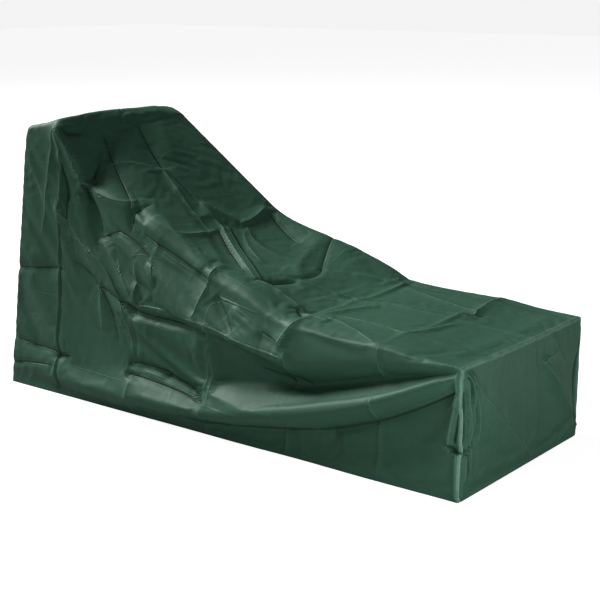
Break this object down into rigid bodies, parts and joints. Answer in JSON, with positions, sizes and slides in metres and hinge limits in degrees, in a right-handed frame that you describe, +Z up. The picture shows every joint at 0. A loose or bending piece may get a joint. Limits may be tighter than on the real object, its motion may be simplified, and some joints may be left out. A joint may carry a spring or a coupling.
{
  "type": "lounge chair cover",
  "caption": "Fitted cloth cover for a chaise lounge: a high raised back, a slope down to a long low platform, a square foot end and an open underside, hanging in soft folds.",
  "frame": {"origin": "on the floor under the middle of the cover, at the middle of the box around it", "axes": "+X towards the foot end, along the cover's length; +Y towards the side away from the picture's camera; +Z up"},
  "size_m": [2.0185, 0.8237, 1.0272],
  "materials": {
    "cover_cloth": "dark green coated polyester, closely woven, satin sheen"
  },
  "bodies": {
    "root": {"cover_body": "cover_cloth", "foot_panel": "cover_cloth", "head_panel": "cover_cloth"}
  },
  "joints": []
}
